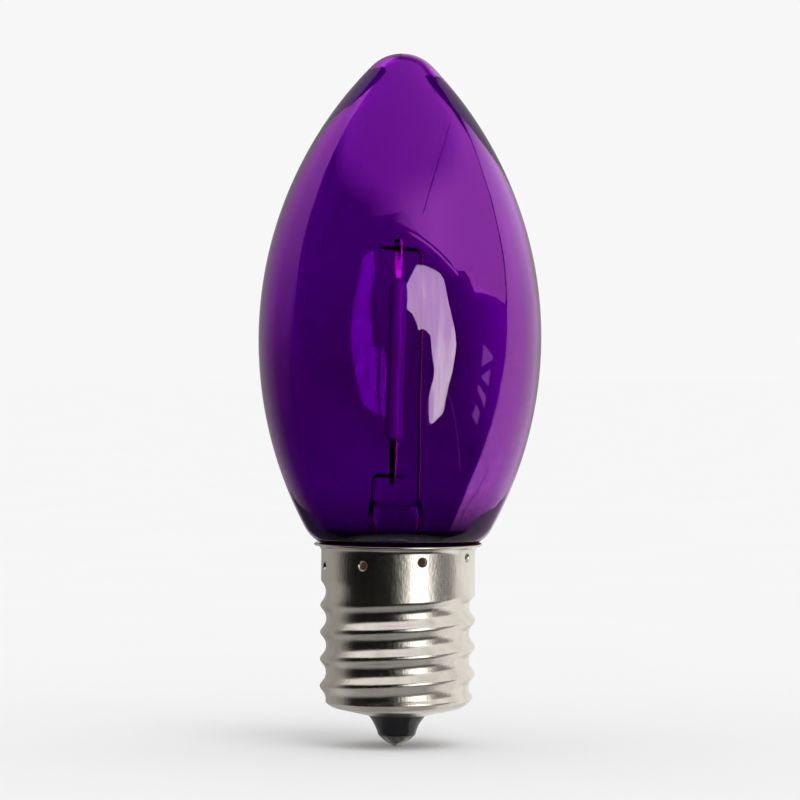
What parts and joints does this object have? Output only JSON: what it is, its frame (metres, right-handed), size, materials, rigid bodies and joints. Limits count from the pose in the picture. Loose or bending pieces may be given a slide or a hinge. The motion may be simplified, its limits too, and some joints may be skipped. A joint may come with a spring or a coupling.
{
  "type": "led filament bulb",
  "caption": "Candle-shaped bulb of transparent purple glass with an upright light filament on wire leads, on a nickel-plated screw cap with rolled thread, dimpled collar and centre contact.",
  "frame": {"origin": "tip of the centre contact, on the bulb's axis, at the bottom of the upright bulb", "axes": "+Z along the bulb's axis from the contact to the glass tip; -Y is the front, which the filament's chips face; +X to the right seen from the front"},
  "size_m": [0.0296, 0.0296, 0.0725],
  "materials": {
    "purple_glass": "transparent purple blown glass, glossy",
    "clear_glass": "clear lead-in glass, glossy",
    "black_glass": "opaque black glass, glossy",
    "nickel_plate": "nickel plate, satin to bright, drawn and rolled",
    "lead_metal": "bright drawn nickel-iron",
    "seal_metal": "copper-clad sealing wire, oxidised red",
    "copper": "tinned copper, drawn",
    "solder_tin": "solder, dull bright",
    "eyelet_brass": "stamped brass",
    "basing_cement": "brown baked cement, matt",
    "phosphor_coat": "soft silicone with phosphor, satin",
    "substrate_ceramic": "fired alumina, matt",
    "led_chip": "polished chip",
    "board_laminate": "glass laminate with white solder mask",
    "package_moulding": "black moulding compound, matt",
    "resistor_coat": "fireproof lacquer, matt"
  },
  "bodies": {
    "root": {"glass_envelope": "purple_glass", "stem_glass": "clear_glass", "exhaust_tube": "clear_glass", "lead_wire_long": "lead_metal", "lead_wire_short": "lead_metal", "seal_wire_long": "seal_metal", "seal_wire_short": "seal_metal", "outer_lead_long": "copper", "outer_lead_short": "copper", "filament_coat": "phosphor_coat", "filament_substrate": "substrate_ceramic", "filament_tab_top": "lead_metal", "filament_tab_bottom": "lead_metal", "led_chip_01": "led_chip", "led_chip_02": "led_chip", "led_chip_03": "led_chip", "led_chip_04": "led_chip", "led_chip_05": "led_chip", "led_chip_06": "led_chip", "led_chip_07": "led_chip", "led_chip_08": "led_chip", "led_chip_09": "led_chip", "led_chip_10": "led_chip", "led_chip_11": "led_chip", "led_chip_12": "led_chip", "led_chip_13": "led_chip", "led_chip_14": "led_chip", "screw_shell": "nickel_plate", "base_cement": "basing_cement", "base_insulator": "black_glass", "contact_eyelet": "eyelet_brass", "contact_solder": "solder_tin", "driver_board": "board_laminate", "bridge_rectifier": "package_moulding", "current_regulator": "package_moulding", "sense_resistor": "substrate_ceramic", "fuse_resistor": "resistor_coat", "fuse_lead": "copper", "contact_lead": "copper", "shell_lead": "copper", "shell_solder": "solder_tin"}
  },
  "joints": []
}
